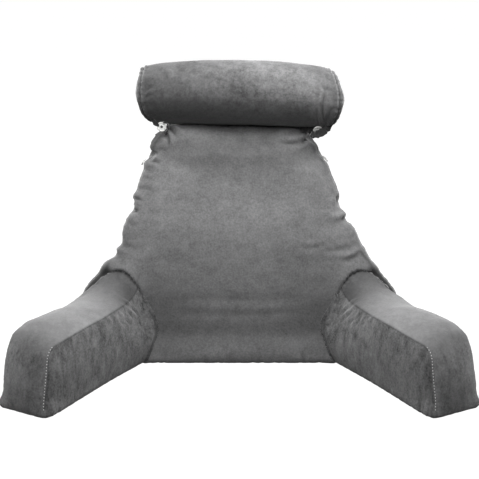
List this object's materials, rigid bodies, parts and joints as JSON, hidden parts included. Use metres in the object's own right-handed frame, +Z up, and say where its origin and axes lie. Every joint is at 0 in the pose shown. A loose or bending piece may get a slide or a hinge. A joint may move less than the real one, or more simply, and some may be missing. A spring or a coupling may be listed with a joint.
{
  "type": "backrest pillow with arms and neck roll",
  "caption": "Filled backrest pillow for sitting up in bed: a leaning back cushion, two splayed armrests and a neck roll held by press studs.",
  "frame": {"origin": "on the surface it stands on, under the middle of the whole pillow's box", "axes": "+Z up, +X to the right of somebody looking at the front, -Y towards the ends of the arms, where the sitter is"},
  "size_m": [0.853, 0.4775, 0.578],
  "materials": {
    "plush": "grey short-pile plush with a soft sheen",
    "stud_plastic": "milky translucent plastic"
  },
  "bodies": {
    "root": {"back_cushion": "plush", "arm_left": "plush", "arm_right": "plush", "neck_roll": "plush", "roll_tab_left": "plush", "back_tab_left": "plush", "roll_tab_right": "plush", "back_tab_right": "plush", "stud_socket_left": "stud_plastic", "stud_peg_left": "stud_plastic", "stud_socket_right": "stud_plastic", "stud_peg_right": "stud_plastic", "stud_open_left": "stud_plastic", "stud_open_right": "stud_plastic"}
  },
  "joints": []
}
